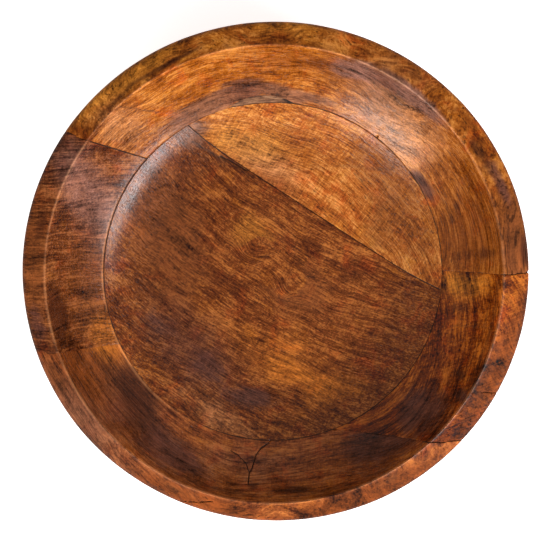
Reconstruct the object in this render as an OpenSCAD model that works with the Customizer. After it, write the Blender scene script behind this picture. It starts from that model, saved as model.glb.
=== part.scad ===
// Turned wooden bowl, glued up from two layers of solid wood.
// The base layer is two boards joined edge to edge. The wall layer is four
// blocks joined end to end into a ring. Filler closes one gap in the glue joint.
// Origin: centre of the foot, on the surface that the bowl stands on.

/* [Bowl] */
// Outside diameter at the widest point of the rim
bowl_d = 300; // [280:1:330]
// Height from the foot to the sharp inner edge of the rim
bowl_h = 60; // [56:1:66]
// Diameter of the flat foot
foot_d = 176; // [166:1:186]
// How far the outside of the wall bulges past a straight line
outside_bulge = 7; // [4:0.5:9]

/* [Rim] */
// Width of the sloping band on top of the rim, seen from above
rim_w = 15; // [11:0.5:16]
// Angle at which the band falls away outwards
rim_slope = 16; // [10:1:34]
// Radius that eases the band into the outside of the wall
rim_round = 4; // [2:0.5:5]

/* [Inside] */
// Thickness of wood under the middle of the floor
floor_t = 13; // [11:0.5:15]
// Diameter of the nearly flat floor
floor_d = 148; // [140:1:156]
// How far the middle of the floor dips below its edge
floor_dip = 1.2; // [0.6:0.2:2]
// How far the inner face of the wall curves out past a straight line
wall_hollow = 2.9; // [1:0.1:4]
// How far the cove between floor and wall dips below a straight line
cove_hollow = 1.9; // [1:0.1:2.4]

/* [Layers] */
// Thickness of the base layer
base_t = 24; // [22:0.5:27]
// Diameter of the circle where the glue joint shows on the inside
joint_d = 205; // [202:1:210]
// Direction of the base layer's edge joint, as the azimuth of its normal
board_joint_az = 57; // [40:1:70]
// Distance of that edge joint from the axis, at the height of the floor
board_joint_offset = 43.5; // [36:0.5:50]
// Lean of that edge joint away from the axis
board_joint_lean = 15; // [0:1:20]

/* [Wall joints] */
// Azimuth of each wall joint on the outside of the bowl
joint_outer_az = [0, 146, 198, 318];
// Azimuth of each wall joint where it meets the glue circle
joint_inner_az = [0.5, 138, 205, 291];

/* [Filler] */
// Azimuth of the filled gap
filler_az = 94; // [88:1:100]
// Length of the filled gap
filler_l = 40; // [30:1:48]
// Greatest height of the filled gap
filler_h = 3; // [2:0.5:4]
// How far the filler reaches into the wall
filler_depth = 4; // [3:0.5:6]

/* [Hidden] */
$fn = 96;
bowl_r = bowl_d / 2;
foot_r = foot_d / 2;
joint_r = joint_d / 2;
floor_r = floor_d / 2;
rim_edge_r = bowl_r - rim_w;
arc_steps = 10;
reach = bowl_d;

// Centre of the rim's easing, placed so that the band runs into it smoothly
ease_r = bowl_r - rim_round;
ease_z = bowl_h - (rim_round + (ease_r - rim_edge_r) * sin(rim_slope)) / cos(rim_slope);
// Angle below the horizontal where the easing runs into the outside of the wall
ease_end = 32;

// Points from a to b on an arc that swells by sag to the right of the way from a to b
function arc(a, b, sag) =
    let (
        half = norm(b - a) / 2,
        along = (b - a) / (2 * half),
        side = [along[1], -along[0]],
        r = (half * half + sag * sag) / (2 * sag),
        turn = asin(half / r),
        centre = (a + b) / 2 - side * (r - sag)
    )
    [for (i = [0 : arc_steps])
        let (t = turn * (2 * i / arc_steps - 1))
        centre + r * (cos(t) * side + sin(t) * along)];

function ease_point(angle) = [ease_r + rim_round * cos(angle), ease_z + rim_round * sin(angle)];
function polar(r, az) = [r * cos(az), r * sin(az)];

outside = arc([foot_r, 0], ease_point(-ease_end), outside_bulge);
easing = [for (i = [1 : arc_steps])
    ease_point(-ease_end + (90 - rim_slope + ease_end) * i / arc_steps)];
wall_face = arc([joint_r, base_t], [rim_edge_r, bowl_h], wall_hollow);
cove = arc([floor_r, floor_t + floor_dip], [joint_r, base_t], cove_hollow);
floor_line = arc([0, floor_t], [floor_r, floor_t + floor_dip], floor_dip / 4);

function backwards(points) = [for (i = [len(points) - 1 : -1 : 0]) points[i]];

// Half section of the bowl from the axis out
section = concat(
    [[0, 0]],
    outside,
    easing,
    backwards(wall_face),
    [for (i = [arc_steps - 1 : -1 : 1]) cove[i]],
    backwards(floor_line)
);

module bowl_solid() {
    rotate_extrude() polygon(section);
}

// The bowl between two heights
module layer(low, high) {
    intersection() {
        bowl_solid();
        translate([-reach, -reach, low]) cube([2 * reach, 2 * reach, high - low]);
    }
}

// Everything beyond the base layer's leaning edge joint
module beyond_board_joint() {
    rotate([0, 0, board_joint_az])
        translate([board_joint_offset, 0, floor_t])
            rotate([0, board_joint_lean, 0])
                translate([0, -reach, -reach]) cube(2 * reach);
}

// Plan of the wall between joint i and the next one round
module block_plan(i) {
    j = (i + 1) % len(joint_outer_az);
    start_in = polar(joint_r, joint_inner_az[i]);
    start_out = polar(bowl_r, joint_outer_az[i]);
    end_in = polar(joint_r, joint_inner_az[j]);
    end_out = polar(bowl_r, joint_outer_az[j]);
    start_way = (start_out - start_in) / norm(start_out - start_in);
    end_way = (end_out - end_in) / norm(end_out - end_in);
    inset = 30;
    outset = 400;
    middle_az = (joint_outer_az[i] + joint_outer_az[j] + (j == 0 ? 360 : 0)) / 2;
    polygon([
        start_in - inset * start_way,
        start_out + outset * start_way,
        polar(4 * bowl_r, middle_az),
        end_out + outset * end_way,
        end_in - inset * end_way
    ]);
}

module wall_block(i) {
    intersection() {
        layer(base_t, bowl_h + 1);
        linear_extrude(bowl_h + 1) block_plan(i);
    }
}

// A low arch standing on the glue joint, run in from the bowl's hollow
module filler_gap() {
    half = filler_l / 2;
    arch_r = (half * half + filler_h * filler_h) / (2 * filler_h);
    near = joint_r - 12;
    far = joint_r + filler_depth;
    rotate([0, 0, filler_az])
        intersection() {
            translate([near, 0, base_t + filler_h - arch_r])
                rotate([0, 90, 0]) cylinder(r = arch_r, h = far - near);
            translate([near - 1, -filler_l, base_t])
                cube([far - near + 2, 2 * filler_l, 2 * filler_h]);
        }
}

module base_board_wide() {
    color("#7d4c2f") difference() {
        layer(-1, base_t);
        beyond_board_joint();
    }
}

module base_board_narrow() {
    color("#c07a3c") intersection() {
        layer(-1, base_t);
        beyond_board_joint();
    }
}

module wall_block_back() {
    color("#c8803c") difference() {
        wall_block(0);
        filler_gap();
    }
}

module wall_block_left() {
    color("#6f4637") wall_block(1);
}

module wall_block_front() {
    color("#84502f") wall_block(2);
}

module wall_block_right() {
    color("#93582f") wall_block(3);
}

module joint_filler() {
    color("#6b5a4d") intersection() {
        filler_gap();
        layer(base_t, bowl_h);
    }
}

base_board_wide();
base_board_narrow();
wall_block_back();
wall_block_left();
wall_block_front();
wall_block_right();
joint_filler();
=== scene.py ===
"""A turned wooden bowl, glued up from two layers of solid wood: its looks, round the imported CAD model."""

import math

import bmesh
import bpy
import numpy as np
from mathutils import Matrix, Vector, noise


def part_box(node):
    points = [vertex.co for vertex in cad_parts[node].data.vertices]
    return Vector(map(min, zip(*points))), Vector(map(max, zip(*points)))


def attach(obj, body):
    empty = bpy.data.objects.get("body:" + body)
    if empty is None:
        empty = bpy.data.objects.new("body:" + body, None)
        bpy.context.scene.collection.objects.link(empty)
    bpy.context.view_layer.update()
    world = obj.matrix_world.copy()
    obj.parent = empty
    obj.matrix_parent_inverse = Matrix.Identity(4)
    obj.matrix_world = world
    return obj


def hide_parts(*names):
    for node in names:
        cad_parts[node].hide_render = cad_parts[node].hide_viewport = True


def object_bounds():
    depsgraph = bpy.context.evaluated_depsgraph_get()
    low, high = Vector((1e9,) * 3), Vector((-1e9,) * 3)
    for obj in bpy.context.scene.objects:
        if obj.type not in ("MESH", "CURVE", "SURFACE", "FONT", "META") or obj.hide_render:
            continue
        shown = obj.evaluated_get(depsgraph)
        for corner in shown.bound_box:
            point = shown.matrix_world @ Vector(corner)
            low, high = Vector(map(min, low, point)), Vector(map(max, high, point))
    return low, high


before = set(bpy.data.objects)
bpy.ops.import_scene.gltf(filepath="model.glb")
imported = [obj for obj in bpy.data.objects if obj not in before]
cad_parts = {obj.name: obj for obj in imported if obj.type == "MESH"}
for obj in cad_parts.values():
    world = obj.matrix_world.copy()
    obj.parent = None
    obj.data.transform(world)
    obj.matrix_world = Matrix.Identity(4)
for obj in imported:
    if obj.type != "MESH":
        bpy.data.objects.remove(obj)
cad_low, cad_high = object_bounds()

# -------- sizes
# The CAD's radius sets the scale: MM is one millimetre on a bowl 300 mm across, and lengths are in MM.
BOWL_R = 150
MM = cad_high.x / BOWL_R
BOWL_H = cad_high.z / MM
BASE_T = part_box("base_board_wide")[1].z / MM

# Half section
RIM_EDGE_R = 135
RIM_SLOPE = math.radians(16)
RIM_HOLLOW = 0.25
RIM_ROUND = 4
EASE_END = math.radians(32)
JOINT_R = 102.5
FLOOR_R = 74
FLOOR_T = 13
FLOOR_DIP = 1.2
COVE_HOLLOW = 1.9
WALL_HOLLOW = 2.9
FOOT_R = 88
OUTSIDE_BULGE = 7
EDGE_ROUND = 0.6

# The wood has moved since it was turned: the outline is a little oval and the inside sits off centre.
OVAL = 0.0133
OVAL_AZ = math.radians(-9)
INSIDE_SHIFT = np.array([-1.2, -1.2])

# Joints of the wall layer: azimuth on the outside and where the joint meets the glue circle
WALL_JOINTS = {
    "right": (0, 0.5),
    "upper_left": (146, 138),
    "lower_left": (198, 205),
    "lower_right": (318, 291),
}
# How dark each wall joint's glue line shows, on the wall and on the rim band
JOINT_LINES = {
    "right": (0.35, 0.8),
    "upper_left": (0.8, 0.5),
    "lower_left": (0.3, 0.4),
    "lower_right": (0.35, 1.0),
}
# How dark the glue joint between the layers shows inside the bowl, by azimuth
GLUE_SHADES = [
    (0, 0.6), (25, 0.5), (50, 0.55), (80, 0.7), (86, 1.0), (100, 1.0), (104, 0.3), (128, 0.35),
    (140, 0.6), (160, 0.7), (205, 0.6), (215, 0.35), (240, 0.45), (258, 0.8), (270, 0.6), (290, 0.7),
    (315, 0.7), (335, 0.6), (360, 0.6),
]
GLUE_SHADE_OUTSIDE = 0.8
# The base layer's edge joint: azimuth of its normal, distance from the axis at the floor, lean, and shade
BOARD_JOINT_AZ = math.radians(57)
BOARD_JOINT_OFFSET = 43.5
BOARD_JOINT_LEAN = math.radians(15)
BOARD_JOINT_SHADE = 0.75
# The filled gap in the glue joint
FILLER_AZ = math.radians(94)
FILLER_L = 40
FILLER_H = 3
FILLER_DEPTH = 3.6
POCKET_DEPTH = 3.2
POCKET_REACH = 9.5

# Mesh spacing, and the rows beside a joint that give it an eased edge
FINE = 0.9
COARSE = 1.8
LEAST_GAP = 0.2
EDGE_ROWS = (0, 0.15, 0.4, 0.8, 1.4)
TURNS = 450
MATING_ROWS = 8
SHARP_ANGLE = math.radians(38)
# Radii at which the length of a wall block and the spacing along it are measured
WALL_MIDDLE_R = 125
SPACING_R = 128
# At the glue circle: slopes of the wall and the cove, and the radius that parts inside from outside
WALL_SLOPE = math.radians(38)
COVE_SLOPE = math.radians(35)
INNER_JOINT_R = 115

# Relief: how far the skin reaches in, then the glue lines' grooves, and lumps as size and height
SKIN_DEPTH = 0.3
GROOVE_HALF = 0.45
GROOVE_DEPTH = 0.03
DARK_GROOVE_DEPTH = 0.25
LINE_HALF = 0.48
BROAD_LUMPS = (38, 0.16)
SMALL_LUMPS = (9, 0.05)
# The painted shade along the outer edge, where it rounds over, and how dull the oil is on the floor, inside
# its radii, and outside
OUTER_EDGE_PAINTED_SHADE = 0.55
OUTER_EDGE_HALF = 1.3
DULL_FLOOR = 0.7
DULL_FLOOR_R = (86, 64)
DULL_OUTSIDE = 0.6
# Above these heights the outside also takes paint, dullness and cracks, or counts as the rim
PAINT_Z = FLOOR_T - 0.1
DULL_Z = 40
CRACK_Z = 45
RIM_Z = 50
# A distance that puts a point out of reach of a mark
FAR = 99


# -------- half section
def arc(a, b, sag, count=80):
    """Points from a to b on an arc that swells by sag to the right of the way from a to b."""
    a, b = np.array(a, float), np.array(b, float)
    half = np.linalg.norm(b - a) / 2
    along = (b - a) / (2 * half)
    side = np.array([along[1], -along[0]])
    radius = (half**2 + sag**2) / (2 * sag)
    centre = (a + b) / 2 - side * (radius - sag)
    turn = np.linspace(-1, 1, count + 1) * math.asin(half / radius)
    return centre + radius * (np.outer(np.cos(turn), side) + np.outer(np.sin(turn), along))


def joined(*stretches):
    """One line from several that meet end to end."""
    return np.vstack([stretches[0]] + [s[1:] for s in stretches[1:]])


def lengths_along(line):
    """Distance along a line to each of its points."""
    return np.concatenate([[0], np.cumsum(np.linalg.norm(np.diff(line, axis=0), axis=1))])


def at_lengths(line, lengths):
    """Points at these distances along a line."""
    run = lengths_along(line)
    return np.column_stack([np.interp(lengths, run, line[:, i]) for i in range(2)])


def rounded_corner(before, after, radius):
    """The end of one line and the start of the next, with the corner between them eased."""
    run = lengths_along(before)
    keep_before = before[run < run[-1] - radius]
    keep_after = after[lengths_along(after) > radius]
    start, end, corner = keep_before[-1], keep_after[0], before[-1]
    t = np.linspace(0, 1, 7)[1:-1, None]
    curve = (1 - t) ** 2 * start + 2 * t * (1 - t) * corner + t**2 * end
    return np.vstack([keep_before, curve]), keep_after


def half_section():
    """Lines of the bowl's skin: the inside of the base, the wall layer, and the outside of the base."""
    ease_r = BOWL_R - RIM_ROUND
    drop = RIM_ROUND + (ease_r - RIM_EDGE_R) * math.sin(RIM_SLOPE)
    ease_z = BOWL_H - drop / math.cos(RIM_SLOPE)
    turn = np.linspace(math.pi / 2 - RIM_SLOPE, -EASE_END, 24)
    easing = np.column_stack([ease_r + RIM_ROUND * np.cos(turn), ease_z + RIM_ROUND * np.sin(turn)])
    floor_line = arc((0, FLOOR_T), (FLOOR_R, FLOOR_T + FLOOR_DIP), FLOOR_DIP / 4, 120)
    cove = arc((FLOOR_R, FLOOR_T + FLOOR_DIP), (JOINT_R, BASE_T), COVE_HOLLOW)
    wall = arc((JOINT_R, BASE_T), (RIM_EDGE_R, BOWL_H), WALL_HOLLOW, 160)
    band = arc((RIM_EDGE_R, BOWL_H), easing[0], RIM_HOLLOW, 60)
    outside = arc((FOOT_R, 0), easing[-1], OUTSIDE_BULGE, 240)[::-1]
    wall, band = rounded_corner(wall, band, EDGE_ROUND)
    split = int(np.argmax(outside[:, 1] < BASE_T))
    share = (outside[split - 1, 1] - BASE_T) / (outside[split - 1, 1] - outside[split, 1])
    crossing = outside[split - 1] + share * (outside[split] - outside[split - 1])
    wall_skin = joined(wall, band, easing, np.vstack([outside[:split], crossing]))
    under = np.linspace((FOOT_R, 0), (0, 0), 60)
    base_outside = joined(np.vstack([crossing, outside[split:]]), under)
    return joined(floor_line, cove), wall_skin, base_outside


BASE_INSIDE, WALL_SKIN, BASE_OUTSIDE = half_section()
OUTER_JOINT_R = BASE_OUTSIDE[0, 0]
RIM_ROW = int(np.argmax(WALL_SKIN[:, 1]))
WALL_FACE = WALL_SKIN[:RIM_ROW + 1]
# The wall's face and the inner part of the rim band, which move with the inside of the bowl
MOVING_SKIN = WALL_SKIN[:200]


def graded(line, fine_to, start_rows=EDGE_ROWS, end_rows=EDGE_ROWS):
    """Points along a line: close together at an eased edge, fine up to fine_to, then coarse."""
    total = lengths_along(line)[-1]
    places = list(start_rows)
    while places[-1] < total - end_rows[-1]:
        places.append(places[-1] + (FINE if places[-1] < fine_to else COARSE))
    places = [p for p in places if p < total - end_rows[-1] - LEAST_GAP]
    places += [total - row for row in reversed(end_rows)]
    return at_lengths(line, places)


# -------- meshes
def on_circle(bm, radius, z, azimuth):
    """A vertex at a radius, height and azimuth."""
    return bm.verts.new((radius * math.cos(azimuth), radius * math.sin(azimuth), z))


def grid_faces(bm, rows, closed_rows, closed_columns):
    """Quads between rows of vertices."""
    count = len(rows)
    width = len(rows[0])
    for i in range(count if closed_rows else count - 1):
        low, high = rows[i], rows[(i + 1) % count]
        for j in range(width if closed_columns else width - 1):
            k = (j + 1) % width
            bm.faces.new((low[j], low[k], high[k], high[j]))


def joint_ray(name):
    """Start and direction in plan of a wall joint, from the glue circle outwards."""
    outer, inner = (math.radians(a) for a in WALL_JOINTS[name])
    start = np.array([math.cos(inner), math.sin(inner)]) * JOINT_R
    end = np.array([math.cos(outer), math.sin(outer)]) * BOWL_R
    return start, (end - start) / np.linalg.norm(end - start)


def azimuth_on(name, offset, radius):
    """Azimuth where the line beside a joint, offset anticlockwise, crosses a circle."""
    start, way = joint_ray(name)
    start = start + offset * np.array([-way[1], way[0]])
    b = start @ way
    reach = -b + math.sqrt(b * b - start @ start + radius * radius)
    x, y = start + reach * way
    return math.atan2(y, x)


def wall_block_mesh(first, last):
    """The part of the wall layer from one joint anticlockwise to the next, as a closed mesh."""
    skin = graded(WALL_SKIN, 60)
    under = np.linspace((OUTER_JOINT_R, BASE_T), (JOINT_R, BASE_T), MATING_ROWS)[1:-1]
    loop = np.vstack([skin, under])
    edge = EDGE_ROWS[-1]
    span = azimuth_on(last, -edge, WALL_MIDDLE_R) - azimuth_on(first, edge, WALL_MIDDLE_R)
    shares = np.linspace(0, 1, int(span % math.tau * SPACING_R / FINE))[1:-1]
    bm = bmesh.new()
    rows = []
    for r, z in loop:
        start = [azimuth_on(first, o, r) for o in EDGE_ROWS]
        end = [azimuth_on(last, -o, r) for o in reversed(EDGE_ROWS)]
        wide = (end[0] - start[-1]) % math.tau
        turns = start + [start[-1] + wide * s for s in shares] + end
        rows.append([on_circle(bm, r, z, a) for a in turns])
    grid_faces(bm, rows, closed_rows=True, closed_columns=False)
    bm.faces.new([row[0] for row in rows])
    bm.faces.new([row[-1] for row in reversed(rows)])
    bmesh.ops.recalc_face_normals(bm, faces=bm.faces)
    return bm


def base_mesh():
    """Both boards of the base layer in one closed mesh."""
    top = graded(BASE_INSIDE, 200, start_rows=(0,))
    mating = np.linspace((JOINT_R, BASE_T), (OUTER_JOINT_R, BASE_T), MATING_ROWS)[1:-1]
    outside = graded(BASE_OUTSIDE, 0, end_rows=(0,))
    loop = np.vstack([top, mating, outside])
    turns = np.arange(TURNS) * math.tau / TURNS
    bm = bmesh.new()
    rows = []
    for r, z in loop[1:-1]:
        rows.append([on_circle(bm, r, z, a) for a in turns])
    grid_faces(bm, rows, closed_rows=False, closed_columns=True)
    for tip, ring in ((loop[0], rows[0]), (loop[-1], rows[-1])):
        middle = bm.verts.new((0, 0, tip[1]))
        for j in range(TURNS):
            bm.faces.new((middle, ring[j], ring[(j + 1) % TURNS]))
    bmesh.ops.recalc_face_normals(bm, faces=bm.faces)
    return bm


def board_joint_plane():
    """A point on the base's edge joint and its normal, which points at the narrow board."""
    flat = Vector((math.cos(BOARD_JOINT_AZ), math.sin(BOARD_JOINT_AZ), 0))
    point = flat * BOARD_JOINT_OFFSET + Vector((0, 0, FLOOR_T))
    normal = flat * math.cos(BOARD_JOINT_LEAN) - Vector((0, 0, math.sin(BOARD_JOINT_LEAN)))
    return point, normal


def base_board_mesh(narrow):
    """One board, cut from the whole base by the leaning edge joint."""
    bm = base_mesh()
    point, normal = board_joint_plane()
    side = 1 if narrow else -1
    for row in reversed(EDGE_ROWS):
        whole = bm.verts[:] + bm.edges[:] + bm.faces[:]
        at = point + normal * row * side
        bmesh.ops.bisect_plane(
            bm, geom=whole, plane_co=at, plane_no=normal, dist=0.01,
            clear_inner=narrow and row == 0, clear_outer=not narrow and row == 0,
        )
    rim = [e for e in bm.edges if e.is_boundary]
    bmesh.ops.holes_fill(bm, edges=rim, sides=0)
    bmesh.ops.recalc_face_normals(bm, faces=bm.faces)
    return bm


def outline(rows):
    """The vertices round the edge of a grid, in order."""
    end = [row[-1] for row in rows[1:]]
    start = [row[0] for row in rows[-2:0:-1]]
    return rows[0] + end + rows[-1][-2::-1] + start


def filler_mesh():
    """The filler: an arch standing on the glue joint, following the wall's face, just inside its pocket."""
    along, up = 60, 8
    fit_height, fit_length = 0.96, 0.985
    least_height, lift, set_back = 0.12, 0.05, 0.1
    bm = bmesh.new()
    sides = []
    for depth in (set_back, FILLER_DEPTH):
        rows = []
        for j in range(up + 1):
            row = []
            for i in range(along + 1):
                share = 2 * i / along - 1
                height = max(least_height, FILLER_H * (1 - share**2)) * fit_height
                z = BASE_T + lift + height * j / up
                r = np.interp(z, WALL_FACE[:, 1], WALL_FACE[:, 0]) + depth
                az = FILLER_AZ + share * FILLER_L / 2 / JOINT_R * fit_length
                row.append(on_circle(bm, r, z, az))
            rows.append(row)
        grid_faces(bm, rows, closed_rows=False, closed_columns=False)
        sides.append(rows)
    front, back = (outline(rows) for rows in sides)
    for i in range(len(front)):
        k = (i + 1) % len(front)
        bm.faces.new((front[i], front[k], back[k], back[i]))
    bmesh.ops.recalc_face_normals(bm, faces=bm.faces)
    return bm


# -------- marks in the wood
# Cracks seen from above: points in millimetres, full width and depth. Their insides are painted dark:
# painted shade in the gaps
CRACKS = [
    ([(-4, -105), (-9, -108), (-12, -112), (-14, -118), (-16, -121), (-17, -127)], 0.9, 0.5),
    ([(-27, -109), (-22, -112), (-18, -116), (-16, -121)], 0.6, 0.4),
    ([(-56, -135.6), (-47, -135.9), (-38, -135.2)], 0.7, 0.6),
    ([(116, -71), (125, -71), (134, -72)], 0.5, 0.4),
    ([(-33, 69), (-25, 65), (-17, 60)], 1.2, 0.5),
]
# Chips: place seen from above, radius and depth. They are painted darker inside: painted shade in the dents
CHIPS = [
    (106, 82, 1.2, 0.5),
    (-79.5, 109, 1.1, 0.5),
    (61.6, 80.8, 1.1, 0.8),
    (35.9, -96.6, 1.3, 0.8),
    (-3.2, -103.6, 1.2, 0.7),
    (149, 0.2, 1.6, 1.2),
    (-106, -12, 0.9, 0.6),
]


def radius_of(p):
    """Distance in plan from the axis to each point."""
    return np.hypot(p[:, 0], p[:, 1])


def azimuth_of(p):
    """Azimuth of each point, in radians."""
    return np.arctan2(p[:, 1], p[:, 0])


def segment_distance(p, a, b):
    """Distance in plan from each point to a segment."""
    a, b = np.array(a, float), np.array(b, float)
    t = np.clip((p - a) @ (b - a) / ((b - a) @ (b - a)), 0, 1)
    return np.linalg.norm(p - a - t[:, None] * (b - a), axis=1)


def line_distance(p, points):
    """Distance in plan from each point to a line of segments."""
    return np.min([segment_distance(p, a, b) for a, b in zip(points, points[1:])], axis=0)


def lumps(p, size, seed=0):
    """Smooth noise from -1 to 1 at each point, with features about size across."""
    shift = Vector((seed * 17.3, seed * 5.1, seed * 9.7))
    return np.array([noise.noise(Vector(q) / size + shift) for q in p])


def smooth(low, high, x):
    """0 below low and 1 above high, with a smooth step between."""
    t = np.clip((x - low) / (high - low), 0, 1)
    return t * t * (3 - 2 * t)


def wobbled(p, size):
    """Places in plan, pushed about a little so that marks have uneven edges."""
    return p[:, :2] + np.column_stack([lumps(p, size, 3), lumps(p, size, 4)]) * 0.5


def skin_of(p):
    """The skin's outward normal at each point, the point's depth, and whether it's inside the bowl."""
    block = 8000
    line = np.vstack([BASE_INSIDE, WALL_SKIN, BASE_OUTSIDE])
    way = np.gradient(line, axis=0)
    way /= np.maximum(np.linalg.norm(way, axis=1), 1e-9)[:, None]
    normal = np.column_stack([-way[:, 1], way[:, 0]])
    rim = len(BASE_INSIDE) + RIM_ROW
    spot = np.column_stack([radius_of(p), p[:, 2]])
    near = np.empty(len(p), int)
    depth = np.empty(len(p))
    for start in range(0, len(p), block):
        part = slice(start, start + block)
        gap = np.linalg.norm(spot[part, None, :] - line[None], axis=2)
        near[part] = gap.argmin(1)
        depth[part] = gap.min(1)
    out = np.zeros((len(p), 3))
    radial = p[:, :2] / np.maximum(spot[:, :1], 1e-9)
    out[:, :2] = radial * normal[near, :1]
    out[:, 2] = normal[near, 1]
    return out, depth, near <= rim


def moved(p, inside):
    """Where each point of the turned shape has gone as the wood dried."""
    r = radius_of(p)
    az = azimuth_of(p)
    band_end = BOWL_R - 1
    band = np.clip((band_end - r) / (band_end - RIM_EDGE_R), 0, 1) * (p[:, 2] > RIM_Z)
    share = np.where(inside, 1.0, band)
    share[r < np.interp(p[:, 2], MOVING_SKIN[:, 1], MOVING_SKIN[:, 0])] = 1
    q = p.copy()
    squeeze = 1 - OVAL * np.sin(az - OVAL_AZ) ** 2
    q[:, :2] = (p[:, :2] + INSIDE_SHIFT) * share[:, None] + p[:, :2] * (squeeze * (1 - share))[:, None]
    return q


def linked(name, data):
    """A new object in the scene."""
    made = bpy.data.objects.new(name, data)
    bpy.context.scene.collection.objects.link(made)
    return made


def mesh_object(name, bm, places):
    """An object whose vertices lie at these places, given in millimetres."""
    for vertex, place in zip(bm.verts, places):
        vertex.co = place * MM
    mesh = bpy.data.meshes.new(name)
    bm.to_mesh(mesh)
    bm.free()
    mesh.shade_smooth()
    mesh.set_sharp_from_angle(angle=SHARP_ANGLE)
    return linked(name, mesh)


def glue_lines(p, joints):
    """How deep the joints' grooves are at each point, and how dark the glue is."""
    sunk = np.zeros(len(p))
    line = np.zeros(len(p))
    for gap, strength in joints(p):
        depth = GROOVE_DEPTH + DARK_GROOVE_DEPTH * strength
        sunk -= depth * np.clip(1 - gap / GROOVE_HALF, 0, 1) ** 1.5
        line = np.maximum(line, strength * np.clip(1.2 - gap / LINE_HALF, 0, 1))
    return sunk, line


def unevenness(p):
    """Gentle lumps in the skin, all of them below the turned shape."""
    broad_size, broad = BROAD_LUMPS
    small_size, small = SMALL_LUMPS
    return broad * lumps(p, broad_size, 1) + small * lumps(p, small_size, 2) - broad


def cracks_and_chips(q, inside):
    """How deep the cracks and chips are at each point, and how dark they are painted inside: painted shade
    in these hollows.
    """
    sunk = np.zeros(len(q))
    crack_shade = np.zeros(len(q))
    plan = wobbled(q, 3.5)
    hidden = ~(inside | (q[:, 2] > CRACK_Z))
    for points, width, deep in CRACKS:
        d = line_distance(plan, points)
        d[hidden] = FAR
        sunk -= deep * np.clip(1 - d / (width / 2), 0, 1) ** 0.7
        crack_shade = np.maximum(crack_shade, np.clip(1.4 - d / (width / 2), 0, 1))
    for x, y, radius, deep in CHIPS:
        d = np.hypot(plan[:, 0] - x, plan[:, 1] - y) / radius
        d[hidden] = FAR
        sunk -= deep * np.clip(1 - d, 0, 1)
        crack_shade = np.maximum(crack_shade, np.clip(0.8 - d, 0, 1))
    return sunk, crack_shade


def finish_mesh(name, bm, joints, look):
    """The object, with its relief, the wood's movement, and the values that the material reads."""
    refine(bm)
    p = np.array([v.co for v in bm.verts])
    normal, depth, inside = skin_of(p)
    skin = depth < SKIN_DEPTH
    q = moved(p, inside)
    sunk, line = glue_lines(p, joints)
    sunk += unevenness(p)
    mark_depth, crack_shade = cracks_and_chips(q, inside)
    sunk += mark_depth
    # The filler's pocket is painted dark as well: painted shade in the gap round the filler
    if name == "wall_block_back":
        pocket = filler_pocket(p)
        sunk -= POCKET_DEPTH * pocket
        crack_shade = np.maximum(crack_shade, pocket)
    sunk[~skin] = 0
    q += normal * sunk[:, None]
    q[:, 2] = np.clip(q[:, 2], 0, BOWL_H)
    piece = mesh_object(name, bm, q)
    put(piece.data, "joint_line", np.where(skin, line, 0))
    # Painted shade in cracks, chips and the filler's pocket
    put(piece.data, "crack_shade", crack_shade)
    paint(piece.data, q, inside, look)
    return piece


def put(mesh, name, values):
    """A named value at each vertex, a number or a vector."""
    values = np.asarray(values, np.float32)
    if values.ndim == 1:
        mesh.attributes.new(name, "FLOAT", "POINT").data.foreach_set("value", values)
    else:
        layer = mesh.attributes.new(name, "FLOAT_VECTOR", "POINT")
        layer.data.foreach_set("vector", values.ravel())


def along_filler(p):
    """Where each point lies along the filled gap, from -1 at one end to 1 at the other."""
    return (azimuth_of(p) - FILLER_AZ) * JOINT_R / (FILLER_L / 2)


def filler_pocket(p):
    """1 inside the filled gap's outline on the wall's inner face, 0 outside it."""
    share = along_filler(p)
    height = FILLER_H * (1 - share**2)
    near_face = radius_of(p) < JOINT_R + POCKET_REACH
    hit = (np.abs(share) < 1) & (p[:, 2] < BASE_T + height) & near_face
    return hit.astype(float)


def refine(bm):
    """Finer faces round cracks, chips and the filled gap, so that their edges are crisp."""
    crack_margin, chip_margin, gap_margin, gap_end = 1.1, 0.7, 0.8, 1.06
    largest_area, mating_start = 6, 7.5
    faces = bm.faces[:]
    centre = np.array([f.calc_center_median() for f in faces])
    radius = radius_of(centre)
    plan = centre[:, :2] + INSIDE_SHIFT * (radius < RIM_EDGE_R)[:, None]
    near = np.zeros(len(faces), bool)
    for points, width, _ in CRACKS:
        near |= line_distance(plan, points) < width / 2 + crack_margin
    for x, y, size, _ in CHIPS:
        near |= np.hypot(plan[:, 0] - x, plan[:, 1] - y) < size + chip_margin
    share = along_filler(centre)
    top = BASE_T + FILLER_H * (1 - share**2)
    near |= (np.abs(share) < gap_end) & (centre[:, 2] < top + gap_margin)
    near &= np.array([f.calc_area() < largest_area for f in faces])
    near &= centre[:, 2] > FLOOR_T - 1
    near &= ~((radius > JOINT_R + mating_start) & (centre[:, 2] < BASE_T + 0.1))
    edges = {e for f, hit in zip(faces, near) if hit for e in f.edges}
    bmesh.ops.subdivide_edges(bm, edges=list(edges), cuts=2, use_grid_fill=True)


def glue_shade(p, inner):
    """How dark the glue joint between the layers shows, from 0 to 1."""
    az = np.degrees(azimuth_of(p)) % 360
    inside = np.interp(az, *zip(*GLUE_SHADES))
    return np.where(inner, inside, GLUE_SHADE_OUTSIDE)


def wall_joints(first, last):
    """The joints of a wall block: distance from each point, and how dark the glue line shows."""
    def joints(p):
        up = p[:, 2] - BASE_T
        radius = radius_of(p)
        inner = radius < INNER_JOINT_R
        made = [(np.where(inner, up / math.sin(WALL_SLOPE), up), glue_shade(p, inner))]
        on_rim = smooth(RIM_EDGE_R - 3, RIM_EDGE_R + 1, radius)
        for name in (first, last):
            start, way = joint_ray(name)
            rel = p[:, :2] - start
            off = np.abs(rel[:, 0] * -way[1] + rel[:, 1] * way[0])
            off[rel @ way < -4] = FAR
            on_wall, on_band = JOINT_LINES[name]
            made.append((off, on_wall + (on_band - on_wall) * on_rim))
        return made
    return joints


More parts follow.
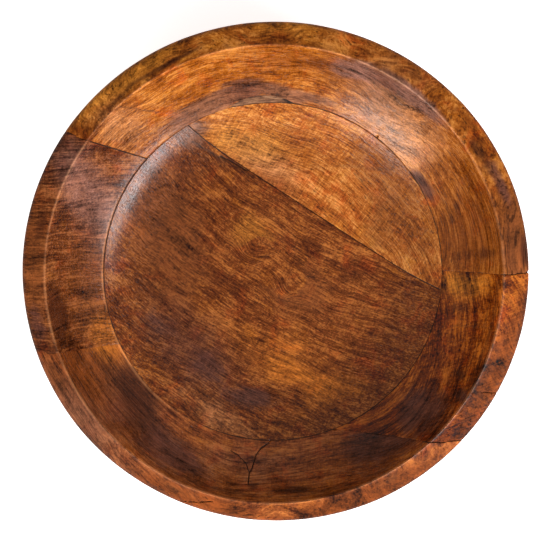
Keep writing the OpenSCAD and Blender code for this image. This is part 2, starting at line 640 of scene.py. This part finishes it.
def base_joints(p):
    """The joints of a base board: distance from each point, and how dark the glue line shows."""
    point, normal = board_joint_plane()
    off = np.abs((p - np.array(point)) @ np.array(normal))
    up = np.abs(p[:, 2] - BASE_T) / math.sin(COVE_SLOPE)
    return [(off, np.full(len(p), BOARD_JOINT_SHADE)), (up, glue_shade(p, p[:, 2] > PAINT_Z))]


# -------- figure of the wood
def turned_about(p, centre, azimuth):
    """Points in a board's own frame: along the grain, across it, and up through it."""
    turn = Matrix.Rotation(-math.radians(azimuth), 3, "Z")
    return (p - np.array(centre)) @ np.array(turn).T


def blob(p, x, y, long, wide, azimuth):
    """1 in the middle of an oval patch and falling to 0 well outside it."""
    a = math.radians(azimuth)
    dx, dy = p[:, 0] - x, p[:, 1] - y
    u = (dx * math.cos(a) + dy * math.sin(a)) / long
    v = (-dx * math.sin(a) + dy * math.cos(a)) / wide
    return np.exp(-0.7 * (u * u + v * v) ** 1.5)


def layered(p, patches):
    """Colour and strength of a layer of patches, each laid over the ones before it."""
    colour = np.ones((len(p), 3)) * 0.1
    strength = np.zeros(len(p))
    for name, most, x, y, long, wide, turn in patches:
        mask = most * blob(p, x, y, long, wide, turn)
        share = mask / np.maximum(mask + strength * (1 - mask), 1e-6)
        colour += (np.array(TINTS[name]) - colour) * share[:, None]
        strength = mask + strength * (1 - mask)
    return colour, strength


def ring_patches(spots):
    """Patches given by azimuth and radius, lying along the bowl's edge."""
    made = []
    for name, most, azimuth, radius, long, wide in spots:
        a = math.radians(azimuth)
        made.append((name, most, radius * math.cos(a), radius * math.sin(a), long, wide, azimuth + 90))
    return made


def ring_strokes(arcs):
    """Strokes along the bowl's edge, from one azimuth to another at a radius."""
    made = []
    for start, end, radius, width, most in arcs:
        turns = np.radians(np.linspace(start, end, 12))
        points = np.column_stack([np.cos(turns), np.sin(turns)]) * radius
        made.append((points, width, most))
    return made


def grain_places(q, grain):
    """Each point's place in the wood's figure: along the grain, and the growth ring that it lies on."""
    local = turned_about(q, grain["heart"], grain["azimuth"])
    local[:, 1] += grain.get("bow", 0) * local[:, 0] ** 2
    local[:, 1] += grain.get("left_bow", 0) * np.maximum(-20 - q[:, 0], 0) ** 2
    for x, y, size, push in grain.get("eyes", ()):
        off = (q[:, 0] - x) ** 2 + (q[:, 1] - y) ** 2
        local[:, 1] += push * np.exp(-off / (2 * size**2))
    wander = grain["wander"]
    local[:, 1] += wander * lumps(q, 45, 11) + wander * 0.3 * lumps(q, 14, 12)
    ring = np.sqrt(local[:, 1] ** 2 + local[:, 2] ** 2 + (local[:, 0] / grain["stretch"]) ** 2)
    return np.column_stack([local[:, 0], ring, local[:, 2]])


def strokes_and_edge_shade(q, azimuth, look):
    """How dark the strokes and the arcs are at each point, and the painted shade along the bowl's outer
    edge.
    """
    plan = wobbled(q, 4)
    stroke = np.zeros(len(q))
    for points, width, most in look.get("strokes", []) + ring_strokes(look.get("arcs", [])):
        d = line_distance(plan, points) / (width / 2)
        stroke = np.maximum(stroke, most * np.clip(1.5 - d, 0, 1))
    outline_r = BOWL_R * (1 - OVAL * np.sin(azimuth - OVAL_AZ) ** 2)
    gap = outline_r - radius_of(q)
    # Painted shade along the outer edge, where it rounds over
    edge = OUTER_EDGE_PAINTED_SHADE * np.clip(1.3 - gap / OUTER_EDGE_HALF, 0, 1)
    return np.maximum(stroke, edge * (q[:, 2] > RIM_Z))


def dullness(q, inside, radius):
    """How dull the oil is: fully on the rim band, less on the floor and outside, and not on the wall."""
    band = smooth(RIM_EDGE_R - 1, RIM_EDGE_R + 2, radius) * (q[:, 2] > DULL_Z)
    floor = DULL_FLOOR * smooth(*DULL_FLOOR_R, radius)
    return np.maximum(np.where(inside, floor, DULL_OUTSIDE), band)


def wear_and_highlight_mask(q, inside, azimuth, radius):
    """How pale the edges are painted along the rim's inner edge and on the glue circle at the left: partly
    from rubbing, partly a painted highlight.
    """
    rim_half, circle_half, circle_out = 0.6, 0.7, 0.9
    rim = np.clip(1.2 - np.abs(radius - RIM_EDGE_R) / rim_half, 0, 1) * (q[:, 2] > RIM_Z)
    turn = np.degrees(azimuth) % 360
    at_left = smooth(145, 165, turn) * smooth(247, 232, turn) * (q[:, 2] > BASE_T - 4)
    circle = np.clip(1.2 - np.abs(radius - JOINT_R - circle_out) / circle_half, 0, 1)
    return np.maximum(rim, at_left * circle) * (inside | (q[:, 2] > RIM_Z))


def paint(mesh, q, inside, look):
    """Grain coordinates, colour layers, dark strokes with painted edge shade, dullness, and pale edges that
    are partly rubbed and partly a painted highlight, from the look of this piece.
    """
    azimuth = azimuth_of(q)
    radius = radius_of(q[:, :2] - INSIDE_SHIFT)
    top = q[:, 2] > PAINT_Z
    put(mesh, "grain", grain_places(q, look["grain"]))
    for layer in ("wash", "stain"):
        patches = look.get(layer, []) + ring_patches(look.get("rim_" + layer, []))
        colour, strength = layered(q, patches)
        put(mesh, layer, colour)
        put(mesh, layer + "_share", strength * top)
    # Dark strokes and arcs, with the painted shade along the outer edge
    put(mesh, "stroke", strokes_and_edge_shade(q, azimuth, look) * top)
    put(mesh, "dull", dullness(q, inside, radius))
    # Paler edges: partly rubbed wood, partly a painted highlight on the rim's inner edge and the left glue
    # circle
    put(mesh, "wear_and_highlight", wear_and_highlight_mask(q, inside, azimuth, radius))


# -------- materials
TINTS = {
    "ink": (0.010, 0.003, 0.001),
    "dark": (0.055, 0.013, 0.004),
    "purple": (0.085, 0.028, 0.018),
    "mauve": (0.17, 0.064, 0.032),
    "grey": (0.19, 0.085, 0.062),
    "red": (0.21, 0.042, 0.008),
    "brown": (0.15, 0.040, 0.009),
    "rust": (0.16, 0.036, 0.006),
    "orange": (0.46, 0.13, 0.012),
    "gold": (0.50, 0.18, 0.020),
    "tan": (0.46, 0.19, 0.075),
    # pale rubbed wood, also used to paint highlights along edges
    "wear_and_highlight": (0.72, 0.32, 0.12),
}


class Nodes:
    """Builds one material's node tree with short calls."""

    def __init__(self, name):
        self.material = bpy.data.materials.new(name)
        self.material.use_nodes = True
        self.tree = self.material.node_tree
        self.tree.nodes.clear()

    def add(self, kind, inputs=None, **settings):
        """A node, with values or links at its inputs."""
        node = self.tree.nodes.new(kind)
        for key, value in settings.items():
            setattr(node, key, value)
        for key, value in (inputs or {}).items():
            if isinstance(value, bpy.types.NodeSocket):
                self.tree.links.new(value, node.inputs[key])
            else:
                node.inputs[key].default_value = value
        return node

    def value(self, name):
        """A number that the mesh holds at each vertex."""
        return self.add("ShaderNodeAttribute", attribute_name=name).outputs["Fac"]

    def vector(self, name):
        """A vector or colour that the mesh holds at each vertex."""
        return self.add("ShaderNodeAttribute", attribute_name=name).outputs["Vector"]

    def math(self, kind, a, b, clamp=False):
        """Two signals put together by this operation."""
        return self.add("ShaderNodeMath", {0: a, 1: b}, operation=kind, use_clamp=clamp).outputs[0]

    def product(self, a, b):
        """One signal times another."""
        return self.math("MULTIPLY", a, b)

    def sized(self, vector, sizes):
        """A vector divided by these sizes."""
        scale = tuple(1 / size for size in sizes)
        return self.add("ShaderNodeVectorMath", {0: vector, 1: scale}, operation="MULTIPLY").outputs[0]

    def times(self, vector, value):
        """A vector or colour times one number or signal."""
        made = self.add("ShaderNodeVectorMath", {0: vector, "Scale": value}, operation="SCALE")
        return made.outputs[0]

    def place(self):
        """Where a point is on the object, in millimetres."""
        return self.sized(self.add("ShaderNodeTexCoord").outputs["Object"], (MM, MM, MM))

    def noise(self, vector, sizes, detail, rough, distortion=0.0):
        """Noise from 0 to 1 with features of about these sizes."""
        made = self.add(
            "ShaderNodeTexNoise",
            {"Vector": self.sized(vector, sizes), "Scale": 1.0, "Detail": detail, "Roughness": rough,
             "Distortion": distortion},
        )
        return made.outputs["Fac"]

    def step(self, value, low, high, to_low=0.0, to_high=1.0):
        """A smooth step from to_low at low to to_high at high."""
        made = self.add(
            "ShaderNodeMapRange", {0: value, 1: low, 2: high, 3: to_low, 4: to_high},
            interpolation_type="SMOOTHSTEP",
        )
        return made.outputs[0]

    def ramp(self, value, stops):
        """Colour by value, from stops of place and colour."""
        node = self.add("ShaderNodeValToRGB", {0: value})
        band = node.color_ramp
        band.elements[0].position = stops[0][0]
        band.elements[0].color = (*stops[0][1], 1)
        band.elements[1].position = stops[-1][0]
        band.elements[1].color = (*stops[-1][1], 1)
        for place, colour in stops[1:-1]:
            band.elements.new(place).color = (*colour, 1)
        return node.outputs[0]

    def mix(self, share, a, b, kind="MIX"):
        """Colour a with this share of colour b laid over it."""
        a = a if isinstance(a, bpy.types.NodeSocket) else (*a, 1)
        b = b if isinstance(b, bpy.types.NodeSocket) else (*b, 1)
        made = self.add(
            "ShaderNodeMix", {0: share, 6: a, 7: b}, data_type="RGBA", blend_type=kind,
            clamp_result=True,
        )
        return made.outputs[2]

    def weighted(self, parts, total):
        """total plus the sum of each signal times its weight."""
        for signal, weight in parts:
            made = self.add("ShaderNodeMath", {0: signal, 1: weight, 2: total}, operation="MULTIPLY_ADD")
            total = made.outputs[0]
        return total

    def finished(self, colour, rough, shine, height, strength, distance):
        """The material, with bumps that are distance millimetres high."""
        bump = self.add(
            "ShaderNodeBump", {"Height": height, "Strength": strength, "Distance": distance * MM},
        )
        surface = self.add(
            "ShaderNodeBsdfPrincipled",
            {"Base Color": colour, "Roughness": rough, "Normal": bump.outputs[0],
             "Specular IOR Level": shine},
        )
        self.add("ShaderNodeOutputMaterial", {"Surface": surface.outputs[0]})
        return self.material


def about_half(parts):
    """The constant that keeps a weighted sum of signals, each about a half, at a half."""
    return 0.5 - 0.5 * sum(weight for _, weight in parts)


# Noise in the wood: what it follows, sizes in millimetres, detail, roughness and distortion
NOISES = {
    "bands": ("grain", (70, 9, 30), 4, 0.6, 0.4),
    "rings": ("grain", (60, 1.9, 30), 3, 0.65, 0),
    "fibre": ("grain", (8, 0.8, 1), 3, 0.75, 0),
    "mottle": ("place", (18, 18, 18), 6, 0.66, 0.6),
    "cloud": ("grain", (13, 5, 8), 4, 0.65, 0.5),
    "chatter": ("grain", (0.9, 9, 9), 2, 0.6, 0),
    "speckle": ("place", (1.3, 1.3, 1.3), 3, 0.7, 0),
    "hue": ("place", (13, 13, 13), 4, 0.6, 0.8),
    "ragged": ("grain", (24, 2.4, 8), 5, 0.65, 0),
    "streaks": ("grain", (26, 1.4, 4), 3, 0.7, 0),
    "pores": ("grain", (3.5, 0.55, 0.55), 1, 0.5, 0),
    "patchy": ("place", (7, 7, 7), 4, 0.7, 0),
}
# How strongly each noise shades the wood, where the look doesn't say
FIGURE = {
    "bands": 1.1, "rings": 1.0, "fibre": 1.5, "mottle": 1.4, "chatter": 0.4, "speckle": 1.0, "cloud": 1.0,
}
STREAKS = 0.6


def wood_noises(m, look):
    """The wood's noises by name."""
    follows = {"grain": m.vector("grain"), "place": m.place()}
    made = {}
    for name, (what, sizes, detail, rough, distortion) in NOISES.items():
        if name == "rings":
            sizes = (sizes[0], look.get("ring", sizes[1]), sizes[2])
        made[name] = m.noise(follows[what], sizes, detail, rough, distortion)
    return made


def figured(m, noises, look):
    """The wood's shade, about a half, and its bare colour."""
    parts = []
    for name, usual in FIGURE.items():
        fine = look.get("fine", 1) if name in ("fibre", "speckle") else 1
        parts.append((noises[name], look.get(name, usual) * fine))
    shade = m.weighted(parts, about_half(parts))
    dark, middle, light = look["shades"]
    colour = m.ramp(shade, [(0.0, dark), (0.5, middle), (1.0, light)])
    colour = m.mix(m.step(noises["hue"], 0.5, 0.72), colour, (1.0, 0.68, 0.5), "MULTIPLY")
    colour = m.mix(m.step(noises["hue"], 0.5, 0.28), colour, (1.0, 0.97, 0.6), "MULTIPLY")
    return shade, colour


def stained(m, noises, shade, colour):
    """Soft washes of colour, then stains with ragged edges. The figure shows through both."""
    detail = m.weighted([(shade, 1.5)], 0.25)
    share = m.value("wash_share")
    soft = m.step(m.weighted([(noises["mottle"], 0.9), (share, 1.0)], -0.45), 0.0, 0.9)
    soft = m.math("MINIMUM", soft, m.product(share, 1.6), clamp=True)
    colour = m.mix(soft, colour, m.times(m.vector("wash"), detail))
    edge = [(noises["ragged"], 0.9), (noises["mottle"], 0.9), (m.value("stain_share"), 1.0)]
    sharp = m.step(m.weighted(edge, -0.9), 0.2, 0.75)
    return m.mix(m.product(sharp, 0.9), colour, m.times(m.vector("stain"), detail))


def wear_and_highlight(m, noises, colour):
    """Paler wood where the oil has rubbed off, which also serves as a painted highlight along the rim's
    inner edge and the glue circle at the left.
    """
    share = m.product(m.value("wear_and_highlight"), m.step(noises["mottle"], 0.35, 0.55))
    pale = m.mix(0.45, m.times(colour, 2.4), TINTS["wear_and_highlight"])
    return m.mix(m.product(share, 0.6), colour, pale)


def dark_lines(m, patchy):
    """Glue lines, painted shade in cracks, chips and the filler's pocket, and strokes with the painted
    shade along the outer edge, as one signal.
    """
    line = m.step(m.weighted([(patchy, 1.3), (m.value("joint_line"), 1.0)], -0.65), 0.15, 0.65)
    crack_shade = m.product(m.step(m.value("crack_shade"), 0.2, 0.7), m.step(patchy, 0.25, 0.55, 0.55, 1.0))
    stroke = m.product(m.value("stroke"), m.step(patchy, 0.3, 0.6, 0.3, 1.0))
    return m.math("MAXIMUM", m.math("MAXIMUM", line, crack_shade), stroke)


def wood(name, look):
    """Oiled wood whose figure follows the piece's own grain coordinates."""
    m = Nodes(name)
    noises = wood_noises(m, look)
    shade, colour = figured(m, noises, look)
    colour = stained(m, noises, shade, colour)
    streak = m.step(m.weighted([(noises["streaks"], 1.0), (noises["mottle"], 0.5)], -0.25), 0.53, 0.68)
    streak_share = m.product(streak, look.get("streaks", STREAKS))
    colour = m.mix(streak_share, colour, (0.38, 0.3, 0.3), "MULTIPLY")
    pore = m.step(noises["pores"], 0.62, 0.7)
    colour = m.mix(m.product(pore, 0.6), colour, TINTS["ink"])
    # Paler edges: partly rubbed wood, partly a painted highlight
    colour = wear_and_highlight(m, noises, colour)
    dark = dark_lines(m, noises["patchy"])
    colour = m.mix(m.product(dark, 0.9), colour, TINTS["ink"])
    relief = [(noises["fibre"], 0.6), (noises["rings"], 0.4), (noises["chatter"], 0.3),
              (streak, -0.4), (pore, -0.6)]
    dull = m.value("dull")
    rough = [(noises["fibre"], 0.3), (noises["mottle"], 0.25), (pore, 0.2), (dark, 0.3), (dull, 0.3)]
    return m.finished(
        colour, m.weighted(rough, -0.05), m.weighted([(dull, -0.2)], 0.27),
        height=m.weighted(relief, 0.0), strength=0.7, distance=0.15,
    )


# Each piece's look. Places and sizes are in millimetres, seen from above:
# grain: the heart of the growth rings, the grain's azimuth, how long the rings are along the grain, how
#   far the figure wanders and bows, and eyes as x, y, size and push
# shades: dark, middle and light wood
# bands, rings, mottle and so on: strength of that noise, where it isn't the usual one; ring: how wide the
#   rings are; fine: how strong fibre and speckle are; streaks: how dark the streaks are
# wash, stain: tint, strength, x, y, half length, half width and azimuth of each patch
# rim_wash, rim_stain: tint, strength, azimuth, radius, half length and half width
# strokes: points, width and strength; arcs: azimuths of both ends, radius, width and strength
LOOKS = {
    "base_board_wide": {
        "grain": {
            "heart": (-85, -125, 0), "azimuth": -32, "stretch": 40, "wander": 4, "bow": -0.0016,
            "eyes": [(-14, 11, 5, 5), (6, -15, 6, 5), (-3, 4, 14, -3)],
        },
        "rings": 0.9, "bands": 0.9, "streaks": 0.5, "fine": 1.3, "mottle": 1.1, "cloud": 0.8,
        "shades": ((0.042, 0.007, 0.001), (0.166, 0.0375, 0.0055), (0.45, 0.142, 0.027)),
        "wash": [
            ("brown", 0.75, -66, 24, 22, 45, 10), ("brown", 0.6, 8, -6, 34, 17, -35),
            ("purple", 0.5, -48, -50, 36, 20, -42), ("orange", 0.28, 4, -50, 34, 12, -22),
            ("orange", 0.3, 12, -66, 26, 7, -18), ("gold", 0.3, -14, 22, 14, 10, -50),
            ("tan", 0.25, -36, -90, 26, 8, -25), ("orange", 0.35, 34, -76, 22, 10, 20),
        ],
        "stain": [
            ("purple", 0.65, -68, -34, 14, 8, -15), ("purple", 0.55, -40, -60, 14, 8, -45),
            ("purple", 0.75, -15, -79, 16, 7, -8), ("dark", 0.4, 48, -4, 9, 4, 0),
            ("dark", 0.5, -40, 68, 20, 5, -35), ("mauve", 0.8, -50, 82, 10, 8, -30),
            ("dark", 0.4, 82, -17, 8, 7, 0),
        ],
        "strokes": [
            ([(-53, 79), (-33, 68), (-13, 56)], 1.4, 0.8),
            ([(-33, 73), (-24, 68), (-15, 62)], 1.0, 0.8),
            ([(-20, 15), (-19, 11), (-14, 9), (-11, 12), (-13, 16), (-18, 16)], 1.0, 0.8),
            ([(-71, 33), (-63, 29), (-51, 23), (-36, 18)], 0.6, 0.4),
            ([(1, -12), (3, -18), (8, -20), (11, -16), (8, -12)], 1.0, 0.5),
            ([(-8, 8), (-3, 5), (2, 6)], 1.2, 0.5),
            ([(40, -4), (50, -8), (62, -11)], 1.0, 0.45),
        ],
    },
    "base_board_narrow": {
        "grain": {"heart": (-30, -40, -30), "azimuth": -33, "stretch": 1.3, "wander": 4},
        "shades": ((0.13, 0.028, 0.004), (0.415, 0.114, 0.015), (0.74, 0.305, 0.075)),
        "chatter": 0.8, "ring": 2.4, "mottle": 1.3, "cloud": 0.6, "fine": 1.1,
        "wash": [("tan", 0.5, -6, 66, 24, 10, -30), ("gold", 0.5, -20, 78, 30, 10, -10),
                 ("brown", 0.5, 74, 28, 24, 20, -10), ("red", 0.4, 2, 50, 16, 6, -35),
                 ("brown", 0.45, 66, 62, 14, 24, 45)],
        "stain": [("mauve", 0.8, -50, 84, 12, 6, 20)],
        "strokes": [
            ([(51, 31), (70, 29), (98, 23)], 0.7, 0.6),
            ([(52, 26), (75, 23), (94, 18)], 0.7, 0.6),
            ([(36, 63), (48, 63), (62, 61), (72, 61)], 1.3, 0.5),
        ],
    },
    "wall_block_back": {
        "grain": {"heart": (0, 60, -60), "azimuth": -8, "stretch": 6, "wander": 12, "bow": 0.0014,
                  "eyes": [(-70, 104, 12, 8), (20, 118, 12, -8), (66, 96, 14, 10), (104, 44, 14, 8)]},
        "shades": ((0.10, 0.020, 0.002), (0.32, 0.083, 0.008), (0.62, 0.225, 0.042)),
        "rings": 0.6, "cloud": 1.7, "fine": 1.1,
        # The two tan washes, at the upper right and the upper left, paint part of the wall's sheen: paler,
        # greyer wood where the wall catches the light
        "wash": [("tan", 0.6, 74, 90, 34, 16, -50), ("rust", 0.5, 118, 24, 22, 34, 0),
                 ("brown", 0.5, 34, 120, 16, 8, -14), ("rust", 0.5, 0, 124, 26, 7, 0),
                 ("tan", 0.5, -92, 86, 14, 14, 45), ("mauve", 0.6, 62, 106, 16, 9, -30)],
        "stain": [
            ("mauve", 0.85, -32, 103, 20, 6, 22), ("mauve", 0.85, -48, 94, 14, 6, 30),
            ("purple", 0.8, -16, 109, 14, 6.5, 0), ("mauve", 0.85, 6, 106, 14, 5, -14),
            ("mauve", 0.7, 26, 103, 12, 3, -16), ("mauve", 0.5, -64, 86, 14, 6, 35),
            ("dark", 0.5, 118, 10, 18, 4, 10), ("dark", 0.4, 108, 36, 12, 3, 70),
            ("grey", 0.8, 46, 120, 13, 6, -14), ("purple", 0.7, 68, 112, 16, 5, -34),
            ("grey", 0.75, 84, 101, 20, 5, -42), ("purple", 0.85, 89, 51, 11, 5, -58),
        ],
        "rim_wash": [("gold", 0.4, 88, 144, 20, 6), ("gold", 0.5, 126, 144, 50, 6),
                     ("brown", 0.85, 6, 143, 34, 9), ("brown", 0.4, 60, 143, 30, 6)],
        # The thin dark patches at azimuths 118 and 134, just outside the rim's inner edge, are painted
        # shade beyond the raised edge
        "rim_stain": [
            ("purple", 0.65, 22, 142, 16, 4), ("dark", 0.55, 31, 139, 14, 3),
            ("dark", 0.6, 6, 147, 12, 2.5), ("dark", 0.7, 118, 138, 26, 1.8),
            ("dark", 0.65, 134, 138, 16, 1.8), ("dark", 0.45, 82, 148, 40, 1.5),
        ],
        "strokes": [
            ([(-76, 82), (-70, 86)], 1.2, 0.7),
            ([(-92, 98), (-78, 96), (-69, 95)], 0.8, 0.6),
            ([(98, 49), (103, 40), (107, 29)], 0.7, 0.45),
            ([(60, 94), (62, 96)], 1.4, 0.7),
        ],
    },
    "wall_block_left": {
        "grain": {"heart": (-120, -160, 30), "azimuth": 2, "stretch": 8, "wander": 3},
        "shades": ((0.022, 0.004, 0.001), (0.128, 0.031, 0.007), (0.38, 0.122, 0.034)),
        "ring": 1.3, "rings": 1.5, "mottle": 1.5, "bands": 1.7,
        # The grey wash on the left wall is a painted sheen
        "wash": [("grey", 0.6, -112, 48, 14, 34, 25), ("brown", 0.5, -112, -8, 16, 30, 0),
                 ("orange", 0.5, -102, -36, 8, 10, 0)],
        "stain": [("dark", 0.9, -129, -24, 5, 18, 10)],
        "rim_wash": [("brown", 0.7, 178, 144, 50, 8)],
        "rim_stain": [("purple", 0.6, 192, 144, 12, 5), ("dark", 0.5, 168, 141, 12, 3)],
    },
    "wall_block_front": {
        "grain": {"heart": (0, -60, -40), "azimuth": -5, "stretch": 7, "wander": 6, "left_bow": -0.008,
                  "eyes": [(-20, -116, 12, 6), (40, -118, 14, -7)]},
        "shades": ((0.06, 0.012, 0.003), (0.26, 0.064, 0.014), (0.52, 0.16, 0.036)),
        "rings": 0.8, "cloud": 1.4, "mottle": 1.8, "bands": 1.4,
        "wash": [("purple", 0.55, -86, -84, 30, 14, -50), ("rust", 0.85, -120, -62, 22, 12, -62),
                 ("brown", 0.5, -104, -58, 18, 10, -55), ("orange", 0.5, -102, -46, 10, 6, -50),
                 ("mauve", 0.35, -20, -118, 40, 12, 0)],
        "stain": [
            ("dark", 0.75, -84, -70, 16, 13, -50), ("dark", 0.65, -80, -91, 16, 9, -65),
            ("purple", 0.8, -60, -110, 22, 9, -36), ("dark", 0.75, 10, -130, 13, 2, 3),
            ("dark", 0.6, -14, -128, 4, 2.5, 0), ("purple", 0.8, 64, -101, 28, 13, 32),
        ],
        "rim_wash": [("mauve", 0.6, 218, 143, 40, 8), ("rust", 0.9, 250, 143, 44, 9),
                     ("rust", 0.9, 292, 143, 60, 9)],
        "rim_stain": [
            ("brown", 0.6, 206, 144, 12, 5), ("dark", 0.45, 222, 147, 12, 3),
            ("brown", 0.5, 246, 141, 16, 3), ("dark", 0.45, 276, 146, 14, 3),
            ("brown", 0.5, 300, 140, 14, 3),
        ],
        # This arc, just inside the rim's inner edge, is a painted shadow between the rim and the wall
        "arcs": [(205, 300, 133.3, 1.2, 0.45)],
    },
    "wall_block_right": {
        "grain": {"heart": (60, -60, -50), "azimuth": -70, "stretch": 6, "wander": 5},
        "shades": ((0.030, 0.004, 0.001), (0.19, 0.035, 0.003), (0.54, 0.145, 0.016)),
        "chatter": 0.8, "mottle": 1.9, "bands": 1.5, "cloud": 1.4,
        "wash": [("gold", 0.5, 112, -8, 16, 8, 0)],
        "stain": [
            ("dark", 0.6, 111, -22, 6, 4, 0), ("dark", 0.65, 110, -61, 4, 3, 0),
            ("purple", 0.7, 110, -73, 4, 4, 0), ("purple", 0.75, 88, -84, 18, 12, 44),
        ],
        "rim_wash": [("rust", 0.8, 335, 143, 60, 9)],
        "rim_stain": [("red", 0.7, 323, 146, 10, 3.5), ("dark", 0.5, 350, 148, 20, 2)],
        "strokes": [
            ([(131, -30), (126, -49), (119, -63), (106, -87)], 0.8, 0.6),
            ([(119, -63), (109, -75), (96, -85)], 0.7, 0.5),
            ([(100, -34), (117, -33), (127, -33)], 0.6, 0.5),
            ([(103, -43), (123, -40)], 0.6, 0.5),
        ],
        "arcs": [(322, 358, 131.5, 1.6, 0.5), (330, 352, 128, 0.8, 0.5)],
    },
}


def filler_material():
    """Grey-brown filler, sanded flush, with a painted shadow that turns one end black."""
    m = Nodes("filler")
    place = m.place()
    streaks = m.noise(place, (7, 1.2, 0.8), 4, 0.6, 0.5)
    grit = m.noise(place, (1 / 3, 1 / 3, 1 / 3), 2, 0.7)
    along = m.add("ShaderNodeSeparateXYZ", {0: place}).outputs[0]
    # The step along x paints a shadow over the filler's right end
    shade = m.weighted([(streaks, 1.8), (grit, 0.6), (m.step(along, 0, 11), -0.45)], -0.65)
    stops = [(0.2, (0.008, 0.003, 0.002)), (0.45, (0.12, 0.046, 0.02)), (0.85, (0.30, 0.145, 0.07))]
    return m.finished(
        m.ramp(shade, stops), m.weighted([(grit, 0.3)], 0.45), 0.2,
        height=shade, strength=0.5, distance=0.2,
    )


# -------- pieces
BLOCK_JOINTS = {
    "wall_block_back": ("right", "upper_left"),
    "wall_block_left": ("upper_left", "lower_left"),
    "wall_block_front": ("lower_left", "lower_right"),
    "wall_block_right": ("lower_right", "right"),
}


def place_piece(piece, node, material):
    """A piece that takes the place of its CAD node."""
    piece.data.materials.append(material)
    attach(piece, "root")
    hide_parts(node)


def make_wood_piece(node, bm, joints):
    """One board or block, with its own figure and material."""
    piece = finish_mesh(node, bm, joints, LOOKS[node])
    place_piece(piece, node, wood(node, LOOKS[node]))


def make_filler():
    """The filler, moved with the inside of the bowl."""
    bm = filler_mesh()
    places = np.array([v.co for v in bm.verts])
    places[:, :2] += INSIDE_SHIFT
    piece = mesh_object("joint_filler", bm, places)
    place_piece(piece, "joint_filler", filler_material())


def make_bowl():
    """All seven pieces: the base layer, the wall layer and the filler."""
    for node, narrow in (("base_board_wide", False), ("base_board_narrow", True)):
        make_wood_piece(node, base_board_mesh(narrow), base_joints)
    for node, (first, last) in BLOCK_JOINTS.items():
        make_wood_piece(node, wall_block_mesh(first, last), wall_joints(first, last))
    make_filler()


# -------- studio
# The camera looks down from almost straight above: the way from the bowl to it, what it aims at, and lens
VIEW_LEAN = Vector((-0.025, 0.058, 1)).normalized()
VIEW_AIM = Vector((-0.78, -1.4, 50)) * MM
VIEW_DISTANCE = 1160 * MM
LENS = 128
NEAR_CLIP = 0.05
# The white floor, a hair below the foot, and the light of the surroundings
FLOOR_HALF = 3.0
FLOOR_GAP = 0.2 * MM
FLOOR_COLOUR = (0.92, 0.92, 0.92, 1)
FLOOR_GLOW = 0.68
WORLD_LIGHT = 0.4
WHITE = (1, 1, 1)
# Soft lights: azimuth and elevation in degrees, distance and size in metres, power in watts, and colour
LIGHTS = {
    "key": (-75, 58, 2.0, (1.6, 1.2), 6, WHITE),
    "side": (-35, 34, 1.6, (1.0, 0.45), 30, (0.96, 0.98, 1)),
    "low": (237, 22, 1.6, (0.7, 0.7), 20, (1, 0.96, 0.9)),
}


def make_floor():
    """The white surface that the bowl stands on. It isn't part of the object."""
    mesh = bpy.data.meshes.new("studio_floor")
    corners = [(-1, -1), (1, -1), (1, 1), (-1, 1)]
    places = [(x * FLOOR_HALF, y * FLOOR_HALF, -FLOOR_GAP) for x, y in corners]
    mesh.from_pydata(places, [], [(0, 1, 2, 3)])
    floor = linked("studio_floor", mesh)
    m = Nodes("studio_floor")
    surface = m.add(
        "ShaderNodeBsdfPrincipled",
        {"Base Color": FLOOR_COLOUR, "Roughness": 0.9,
         "Emission Color": (*WHITE, 1), "Emission Strength": FLOOR_GLOW},
    )
    m.add("ShaderNodeOutputMaterial", {"Surface": surface.outputs[0]})
    mesh.materials.append(m.material)


def add_softbox(name, azimuth, elevation, distance, size, power, colour):
    """A rectangular soft light that faces the bowl."""
    lamp = bpy.data.lights.new(name, "AREA")
    lamp.shape = "RECTANGLE"
    lamp.size, lamp.size_y = size
    lamp.energy = power
    lamp.color = colour
    a, e = math.radians(azimuth), math.radians(elevation)
    way = Vector((math.cos(a) * math.cos(e), math.sin(a) * math.cos(e), math.sin(e)))
    box = linked(name, lamp)
    box.location = way * distance
    box.rotation_euler = way.to_track_quat("Z", "Y").to_euler()
    return box


def make_lights():
    """The surroundings and the soft lights. The key light doesn't show in reflections."""
    world = bpy.data.worlds.new("studio")
    world.use_nodes = True
    background = world.node_tree.nodes["Background"]
    background.inputs[0].default_value = (*WHITE, 1)
    background.inputs[1].default_value = WORLD_LIGHT
    bpy.context.scene.world = world
    boxes = {name: add_softbox(name, *setting) for name, setting in LIGHTS.items()}
    boxes["key"].visible_glossy = False


def make_camera():
    """A camera above the bowl, turned as in the photo."""
    camera = linked("camera", bpy.data.cameras.new("camera"))
    camera.data.lens = LENS
    camera.data.clip_start = NEAR_CLIP
    right = Vector((0, 1, 0)).cross(VIEW_LEAN).normalized()
    turn = Matrix((right, VIEW_LEAN.cross(right), VIEW_LEAN)).transposed()
    place = Matrix.Translation(VIEW_AIM + VIEW_LEAN * VIEW_DISTANCE)
    camera.matrix_world = place @ turn.to_4x4()
    bpy.context.scene.camera = camera


def make_studio():
    """Everything round the bowl."""
    make_floor()
    make_lights()
    make_camera()
    bpy.context.scene.view_settings.view_transform = "Standard"


make_bowl()
make_studio()
